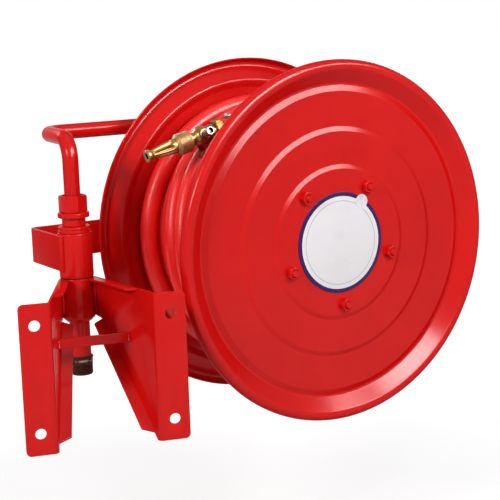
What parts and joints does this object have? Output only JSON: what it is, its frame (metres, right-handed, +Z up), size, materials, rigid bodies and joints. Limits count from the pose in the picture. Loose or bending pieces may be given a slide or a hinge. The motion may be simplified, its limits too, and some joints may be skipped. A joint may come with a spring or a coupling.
{
  "type": "fire hose reel",
  "caption": "Swinging wall-mounted fire hose reel: dished-disc drum wound with red hose, brass shut-off nozzle, pipe-fed swing arm and two-cheek wall bracket.",
  "frame": {"origin": "centre of the four wall holes, on the wall face of the bracket", "axes": "+Y into the wall, -Y out into the room, +Z up, drum on the -X side at rest"},
  "size_m": [0.8359, 0.5017, 0.6],
  "materials": {
    "red_enamel": "glossy red enamel over steel",
    "blackened_iron": "dark, worn and slightly rusty",
    "bearing_brass": "machined",
    "seal_rubber": "matt black",
    "bare_steel": "zinc plated, satin",
    "hose_layers": "hidden layers of hose, textile plies and air",
    "hose_rubber": "red cover, semi-gloss, fine textile marks",
    "nozzle_brass": "turned, satin",
    "label_white": "white, with a dark ring"
  },
  "bodies": {
    "wall_bracket": {"left_cheek": "red_enamel", "right_cheek": "red_enamel", "cross_strap": "red_enamel", "bracket_sleeve": "red_enamel", "inlet_pipe": "red_enamel", "inlet_ring": "blackened_iron", "inlet_socket": "blackened_iron", "thrust_washer": "bearing_brass", "retaining_collar": "red_enamel"},
    "swing_arm": {"swing_sleeve": "red_enamel", "lower_bush": "bearing_brass", "upper_bush": "bearing_brass", "arm_bar": "red_enamel", "gland_body": "red_enamel", "gland_packing": "seal_rubber", "gland_nut": "red_enamel", "feed_pipe": "red_enamel", "feed_elbow": "red_enamel", "spindle": "bare_steel", "spindle_flange": "red_enamel", "spindle_lock_nut": "red_enamel", "spindle_washer": "bare_steel", "spindle_end_nut": "bare_steel"},
    "drum": {"front_disc": "red_enamel", "rear_disc": "red_enamel", "drum_barrel": "red_enamel", "hub": "bare_steel", "front_hub_plate": "bare_steel", "rear_hub_plate": "bare_steel", "tie_studs": "red_enamel", "front_nuts": "red_enamel", "rear_nuts": "red_enamel", "front_bush": "bearing_brass", "rear_bush": "bearing_brass", "front_seal": "seal_rubber", "rear_seal": "seal_rubber", "hub_outlet": "bearing_brass", "inner_clamp": "bare_steel", "hose_core": "hose_layers", "hose_outer_layer": "hose_rubber", "hose_clamp": "bare_steel", "hose_tail": "nozzle_brass", "valve_body": "nozzle_brass", "nozzle_collar": "nozzle_brass", "nozzle_cone": "nozzle_brass", "label_plate": "label_white"},
    "valve_lever": {"valve_ball": "bare_steel", "valve_stem": "bare_steel", "stem_nut": "bare_steel", "lever": "nozzle_brass"}
  },
  "joints": [
    {"name": "swing", "type": "hinge", "parent": "wall_bracket", "child": "swing_arm", "pos_m": [0, -0.24, 0.144], "axis": [0, 0, 1], "range_deg": [0, 164]},
    {"name": "drum_spin", "type": "hinge", "parent": "swing_arm", "child": "drum", "pos_m": [-0.38309, -0.2703, 0.144], "axis": [-0.2706, 0.9627, 0], "continuous": true},
    {"name": "valve_lever", "type": "hinge", "parent": "drum", "child": "valve_lever", "pos_m": [-0.21225, -0.20766, 0.32582], "axis": [0.1465, -0.9459, -0.2896], "range_deg": [0, 90]}
  ]
}
